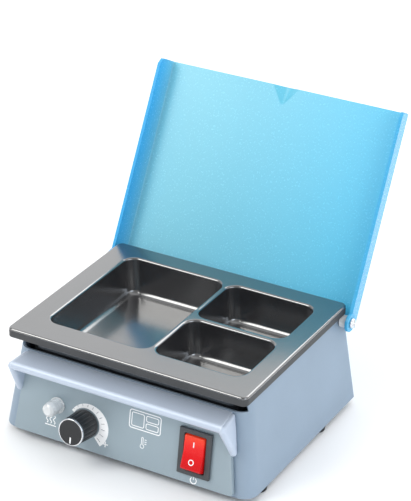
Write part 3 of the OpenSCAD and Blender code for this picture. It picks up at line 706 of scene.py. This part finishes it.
def lid():
    bm = bmesh.new()
    low = (INNER_X + LIP_SPLAY * LIP_H, LID_D - LIP_H)
    fold = fillet([low, (INNER_X, LID_D), (0, LID_D)], FOLD_R)[:-1]
    lip = [(low[0] + (fold[1][0] - low[0]) * i / 6, low[1] + (fold[1][1] - low[1]) * i / 6)
           for i in range(6)]
    right = lip + fold[1:]
    flat = spaced(fold[-1][0], SCOOP_ZONE[0], 9)[1:] + spaced(SCOOP_ZONE[0], 0, 0.7)
    section = ([(-x, z) for x, z in right] + [(-x, LID_D) for x in flat] + [(0, LID_D)]
               + [(x, LID_D) for x in reversed(flat)] + [(x, z) for x, z in reversed(right)])
    scoop_y = -LID_REACH + SCOOP_ZONE[1]
    rows = spaced(LID_TAIL, scoop_y, 9) + spaced(scoop_y, -LID_REACH, 0.8) + [-LID_REACH]
    grid = []
    for y in rows:
        line = []
        for x, z in section:
            rise = z - (LID_D - LIP_H)
            rounding = max(0, LIP_CORNER_R - rise)
            recede = LIP_CORNER_R - math.sqrt(max(0, LIP_CORNER_R ** 2 - rounding ** 2))
            end = -LID_REACH + recede
            along = LID_TAIL + (y - LID_TAIL) * (end - LID_TAIL) / (-LID_REACH - LID_TAIL)
            lift = scoop_height(x, SCOOP_LEN - (y + LID_REACH)) if z == LID_D else 0
            line.append(bm.verts.new((x, along, z + lift)))
        grid.append(line)
    for a, b in zip(grid, grid[1:]):
        band(bm, a, b, closed=False)
    bmesh.ops.recalc_face_normals(bm, faces=bm.faces)
    centre = Vector((0, -60))
    middle = min(bm.faces, key=lambda f: sum(abs(v) for v in f.calc_center_median().xy - centre))
    if middle.normal.z < 0:
        bmesh.ops.reverse_faces(bm, faces=bm.faces)
    cuts = []
    for side in (-1, 1):
        turn = LID @ Matrix.Scale(side, 4, (1, 0, 0)) @ X_AXIS
        for r, h in ((BUSH_RECESS_R, EAR_X[0]), (EAR_BORE_R, 100)):
            hole = bmesh.new()
            lathe(hole, [(r, 70), (r, h)], 40)
            cuts.append(cutter(hole, turn))
    mesh = bpy.data.meshes.new("lid_sheet")
    bmesh.ops.transform(bm, matrix=LID, verts=bm.verts)
    bm.to_mesh(mesh)
    bm.free()
    finished("lid_sheet", mesh, ACRYLIC, "lid", ["lid"], 0.6, 40, 3, LID_T, cuts)
    for side, name in ((-1, "left"), (1, "right")):
        bm = bmesh.new()
        tube(bm, [(EAR_BORE_R, EAR_X[0]), (EAR_R, EAR_X[0]), (EAR_R, EAR_X[1]), (EAR_BORE_R, EAR_X[1])],
             48)
        piece("lid_ear_" + name, bm, LID @ Matrix.Scale(side, 4, (1, 0, 0)) @ X_AXIS, ACRYLIC, "lid",
              bevel=0.4)


SCREW_HEAD_R = 3.3
SCREW_HEAD_X = 90.4
SLOT_HALF = 0.45
SLOT_X = 91.6


def hinges():
    for side, name in ((-1, "left"), (1, "right")):
        turn = POT @ Matrix.Translation(PIVOT) @ Matrix.Scale(side, 4, (1, 0, 0)) @ X_AXIS
        bm = bmesh.new()
        dome = [(SCREW_HEAD_R * math.cos(math.radians(a)),
                 SCREW_HEAD_X + 0.5 + 1.5 * math.sin(math.radians(a))) for a in range(0, 70, 10)]
        lathe(bm, [(2, 76.2), (2, 82.6), (2.5, 82.6), (2.5, SCREW_HEAD_X),
                   (SCREW_HEAD_R, SCREW_HEAD_X)] + dome, 64)
        slot = bmesh.new()
        block(slot, (-SLOT_HALF, -5, SLOT_X), (SLOT_HALF, 5, SLOT_X + 2.4))
        cross = bmesh.new()
        block(cross, (-5, -SLOT_HALF, SLOT_X), (5, SLOT_HALF, SLOT_X + 2.4))
        stands = ["hinge_screws"] if side < 0 else []
        piece("hinge_screw_" + name, bm, turn, BRIGHT, "pot", stands, sharp=30,
              cutters=[cutter(slot, turn), cutter(cross, turn)])
        bm = bmesh.new()
        tube(bm, [(2.56, 82.9), (3.7, 82.9), (4, 83.2), (4, 87.3), (3.7, 87.6), (2.56, 87.6)], 48)
        stands = ["hinge_bushes"] if side < 0 else []
        piece("hinge_bush_" + name, bm, turn, NYLON, "pot", stands)


# ---------------------------------------------------------------- dial
KNOB_LEN = 17.5
KNOB_R = 9.5
FLUTES = 18


def dial():
    place = on_panel(KNOB_AT)

    def fluted(angle, r, h):
        if r < 8.5 or h < 3.2 or h > KNOB_LEN - 2.6:
            return r
        wave = (0.5 + 0.5 * math.cos(FLUTES * angle)) ** 3
        return r - 0.45 * wave

    def skirt(h):
        return KNOB_R - 0.6 * (h - 0.8) / (KNOB_LEN - 2.8)

    bm = bmesh.new()
    heights = ([1.1, 3.1, 3.3, 3.6, 6, 9, 12]
               + [KNOB_LEN - down for down in (3.4, 3, 2.7, 2.5, 1.5)])
    profile = ([(3.05, KNOB_LEN - 3), (3.05, 5.8), (8, 5.8), (8, 0.8), (KNOB_R - 0.3, 0.8)]
               + [(skirt(h), h) for h in heights] + [(8.6, KNOB_LEN - 1.2)])
    lathe(bm, profile, FLUTES * 12, radius=fluted)
    piece("knob_grip", bm, place, BLACK_PLASTIC, "dial", ["knob"], sharp=40)
    bm = bmesh.new()
    tube(bm, [(8.2, KNOB_LEN - 1.2), (8.9, KNOB_LEN - 1.2), (8.9, KNOB_LEN - 0.35),
              (8.75, KNOB_LEN - 0.1), (8.5, KNOB_LEN), (8.2, KNOB_LEN - 0.15)], 96)
    piece("knob_bright_ring", bm, place, BRIGHT, "dial", ["knob_ring"], sharp=50)
    bm = bmesh.new()
    lathe(bm, [(8.15, KNOB_LEN - 1.2), (8.15, KNOB_LEN - 0.45), (7.9, KNOB_LEN - 0.28),
               (7.4, KNOB_LEN - 0.3), (6.6, KNOB_LEN - 0.4), (0.5, KNOB_LEN - 0.3)], 96)
    piece("knob_face", bm, place, BLACK_PLASTIC, "dial", ["knob_cap"], sharp=40)
    bm = bmesh.new()
    block(bm, (-0.45, -7.5, KNOB_LEN - 0.6), (0.45, -3.4, KNOB_LEN - 0.1))
    piece("knob_mark", bm, place, WHITE_INK, "dial", ["knob_pointer"], bevel=0.12)


# ---------------------------------------------------------------- panel print
def stroke(bm, points, width, lift=0.12):
    """A printed line of the given width along points on the panel."""
    left, right = [], []
    for i, point in enumerate(points):
        p = Vector(point)
        before = Vector(points[max(0, i - 1)])
        after = Vector(points[min(len(points) - 1, i + 1)])
        way = (after - before).normalized()
        side = Vector((-way.y, way.x)) * width / 2
        left.append(tuple(p + side))
        right.append(tuple(p - side))
    loft(bm, [ring(bm, right + left[::-1], 0), ring(bm, right + left[::-1], lift)])


SCALE_START = -60
SCALE_SWEEP = 198
SCALE_R = 14.5
SCALE_CENTRE = Vector((2.1, -1.1))
SCALE_INNER_R = 10.1


def crescent(steps=36):
    """The heat scale: its inner edge is round the knob, its outer edge drifts away clockwise."""
    inner, outer = [], []
    for i in range(steps + 1):
        clock = math.radians(SCALE_START + SCALE_SWEEP * i / steps)
        way = Vector((math.sin(clock), math.cos(clock)))
        along = way.dot(SCALE_CENTRE)
        reach = along + math.sqrt(along ** 2 - SCALE_CENTRE.length_squared + SCALE_R ** 2)
        inner.append(tuple(way * SCALE_INNER_R))
        outer.append(tuple(way * max(reach, SCALE_INNER_R + 1.3)))
    return inner, outer


def printed_marks():
    bm = bmesh.new()
    inner, outer = crescent()
    loft(bm, [ring(bm, outer + inner[::-1], 0), ring(bm, outer + inner[::-1], 0.15)])
    piece("heat_scale", bm, on_panel(KNOB_AT), WHITE_INK, "pot", ["dial_print"])
    bm = bmesh.new()
    for i in range(11):
        clock = math.radians(-50 + 18 * i)
        way = Vector((math.sin(clock), math.cos(clock)))
        stroke(bm, [tuple(way * 11.4), tuple(way * (12.2 + 0.25 * i))], 0.28, 0.2)
    piece("heat_scale_ticks", bm, on_panel(KNOB_AT), GREY_INK, "pot")

    def art(name, spot, draw):
        mesh = bmesh.new()
        draw(mesh)
        piece(name, mesh, on_panel(spot), WHITE_INK, "pot")

    def heat(mesh):
        for x in (-2.6, 0, 2.6):
            stroke(mesh, [(x + 0.7 * math.sin(t * 0.9), t * 0.55) for t in range(0, 11)], 0.6)
        stroke(mesh, [(-4, -1.2), (4, -1.2)], 0.6)

    def more(mesh):
        stroke(mesh, [(-1.9, 0), (1.9, 0)], 0.75)
        stroke(mesh, [(0, -1.9), (0, 1.9)], 0.75)

    def pot(mesh):
        frame_line = outline(-11, 11, -6, 6, 1.5, steps=4)
        stroke(mesh, frame_line + frame_line[:2], 0.6)
        for x0, x1, y0, y1 in ((-9.4, -0.8, -4.4, 4.4), (0.8, 9.4, 0.7, 4.4), (0.8, 9.4, -4.4, -0.7)):
            line = outline(x0, x1, y0, y1, 0.9, steps=3)
            stroke(mesh, line + line[:2], 0.5)

    def thermometer(mesh):
        stroke(mesh, arc(0, 0, 1.3, 115, 310, 16) + [(0.55, 5.5)] + arc(0, 5.5, 0.55, 0, 180, 6)
               + [(-0.55, 1.2)], 0.4)
        for y in (2, 3.4, 4.8):
            stroke(mesh, [(1.5, y), (3, y)], 0.4)

    def power(mesh):
        stroke(mesh, arc(0, 0, 2.1, 125, 290, 24), 0.6)
        stroke(mesh, [(0, 0.5), (0, 2.7)], 0.6)

    art("print_heat", (-52, 10.5), heat)
    art("print_more", (-11.5, 8), more)
    art("print_wells", (15.5, 31), pot)
    art("print_thermometer", (14.5, 14.5), thermometer)
    art("print_power", (51.8, 2.9), power)


# ---------------------------------------------------------------- lamp and switch
LENS_R = 4.9
LENS_SIDES = 12


def pilot_lens():
    place = on_panel(LAMP_AT)
    bm = bmesh.new()
    lathe(bm, [(5.3, 0), (5.4, 0.2), (5.4, 0.9), (5.1, 1.2), (4.95, 1.2)], 64)
    piece("lens_flange", bm, place, CLEAR, "pot", ["pilot_lens"], sharp=30)
    bm = bmesh.new()
    rows = []
    levels = [(LENS_R, 1.2), (LENS_R, 4), (LENS_R - 0.4, 4.6), (LENS_R, 5.2), (LENS_R, 8.6),
              (LENS_R - 0.7, 10.9), (2.6, 12.3)]
    for index, (r, h) in enumerate(levels):
        shift = 0.5 * (index % 2 if index > 3 else 0)
        angles = [2 * math.pi * (i + shift) / LENS_SIDES for i in range(LENS_SIDES)]
        rows.append([bm.verts.new((r * math.cos(a), r * math.sin(a), h)) for a in angles])
    loft(bm, rows)
    piece("lens_cap", bm, place, CLEAR, "pot", bevel=0.12, sharp=12, segments=2)


ROCKER_W = 13.8
ROCKER_R = 11.9
ROCKER_FACE = 5.7
ROCKER_DISH = 1.1
ROCKER_REST = 9
MARK_Z = 5.6


def rocker_face(t):
    """The dished face's Y from the pivot at t, which runs from -1 at its foot to 1 at its top."""
    return -ROCKER_FACE + ROCKER_DISH * (1 - abs(t))


def rocker():
    pivot = PANEL @ Matrix.Translation((SWITCH_AT[0], 1, SWITCH_AT[1])) @ Matrix.Rotation(
        math.radians(-ROCKER_REST), 4, "X")
    half_w = ROCKER_W / 2
    r = ROCKER_R
    reach = math.sqrt(r * r - ROCKER_FACE ** 2)
    face = [(rocker_face(t), t * reach) for t in (-1, -0.7, -0.35, 0, 0.35, 0.7, 1)]
    back = [(3, 11.5), (3, -11.5)]
    low = math.degrees(math.atan2(-reach, -ROCKER_FACE))
    side = [(r * math.cos(math.radians(a)), r * math.sin(math.radians(a)))
            for a in (low + 8, low + 20, low + 32)]
    profile = face + [(y, -z) for y, z in side] + back + side[::-1]
    bm = bmesh.new()
    loft(bm, [[bm.verts.new((x, y, z)) for y, z in profile] for x in (-half_w, half_w)])
    piece("rocker_cap", bm, pivot, RED_PLASTIC, "rocker", ["rocker"], bevel=0.7, sharp=30,
          segments=4)
    bm = bmesh.new()
    lathe(bm, [(1.5, -9), (1.5, 9)], 32)
    piece("rocker_pin", bm, pivot @ X_AXIS, RED_PLASTIC, "rocker", bevel=0.2)
    lean = math.degrees(math.atan2(ROCKER_DISH, reach))
    for name, z, points, width in (("mark_on", MARK_Z, [(0, -1.7), (0, 1.7)], 0.7),
                                   ("mark_off", -MARK_Z, arc(0, 0, 1.6, 0, 360, 24), 0.6)):
        bm = bmesh.new()
        stroke(bm, points, width, 0.15)
        y = rocker_face(z / reach)
        place = (pivot @ Matrix.Translation((0, y, z))
                 @ Matrix.Rotation(math.radians(90 + (lean if z > 0 else -lean)), 4, "X"))
        piece("rocker_" + name, bm, place, WHITE_INK, "rocker")


# ---------------------------------------------------------------- scene
AZIMUTH = 29.695
ELEVATION = 27.66
ROLL = 0.18
LENS = 152.3
CAMERA_AT = (588.9, -932.3, 728.6)


def camera():
    data = bpy.data.cameras.new("camera")
    data.sensor_width = 36
    data.lens = LENS
    data.clip_end = 20
    obj = bpy.data.objects.new("camera", data)
    obj.matrix_world = (Matrix.Translation(POT @ Vector(CAMERA_AT))
                        @ Matrix.Rotation(math.radians(AZIMUTH), 4, "Z")
                        @ Matrix.Rotation(math.radians(90 - ELEVATION), 4, "X")
                        @ Matrix.Rotation(math.radians(ROLL), 4, "Z"))
    bpy.context.collection.objects.link(obj)
    bpy.context.scene.camera = obj


def area_light(name, where, target, size, power, colour=(1, 1, 1)):
    data = bpy.data.lights.new(name, "AREA")
    data.shape = "RECTANGLE"
    data.size, data.size_y = size
    data.energy = power
    data.color = colour
    obj = bpy.data.objects.new(name, data)
    obj.location = where
    obj.rotation_euler = (Vector(target) - Vector(where)).to_track_quat("-Z", "Y").to_euler()
    bpy.context.collection.objects.link(obj)


def studio():
    bm = bmesh.new()
    bmesh.ops.create_grid(bm, x_segments=24, y_segments=24, size=4)
    mesh = bpy.data.meshes.new("floor")
    bm.to_mesh(mesh)
    bm.free()
    floor = bpy.data.objects.new("floor", mesh)
    bpy.context.collection.objects.link(floor)
    mesh.materials.append(finish("floor_card", (0.93, 0.93, 0.93), rough=0.8, spread=0.01, patch=3,
                                 grain=300, bump=0.02))
    world = bpy.data.worlds.new("studio")
    world.use_nodes = True
    tree = world.node_tree
    split = tree.nodes.new("ShaderNodeSeparateXYZ")
    tree.links.new(tree.nodes.new("ShaderNodeTexCoord").outputs["Generated"], split.inputs[0])
    glow = between(tree, split.outputs["Y"], 0.5, 1.35, -0.5, 0.5)
    tree.links.new(glow, tree.nodes["Background"].inputs["Strength"])
    tree.nodes["Background"].inputs["Color"].default_value = (0.98, 0.99, 1, 1)
    bpy.context.scene.world = world
    bpy.context.scene.view_settings.view_transform = "Standard"
    area_light("key", (-0.9, -1.1, 1.4), (0, 0, 0.06), (1.0, 1.0), 18, (1, 0.995, 0.97))
    area_light("fill", (1.4, -0.7, 0.8), (0, 0, 0.08), (0.9, 0.9), 8, (0.80, 0.89, 1))
    area_light("back", (0.2, 1.2, 1.2), (0, 0, 0.1), (1.4, 0.6), 8)


paint_carried_nodes()
housing()
fascia()
wax_tray()
lid()
hinges()
dial()
printed_marks()
pilot_lens()
rocker()
refined("switch_body", DARK_PLASTIC, "pot", bevel=0.5)
refined("rubber_feet", RUBBER, "pot", bevel=0.5)
refined("mains_inlet", INLET_PLASTIC, "pot", bevel=0.5)
refined("fuse_drawer", INLET_PLASTIC, "drawer", bevel=0.3)
refined("base_plate", ZINC, "pot", bevel=0.3)
camera()
studio()
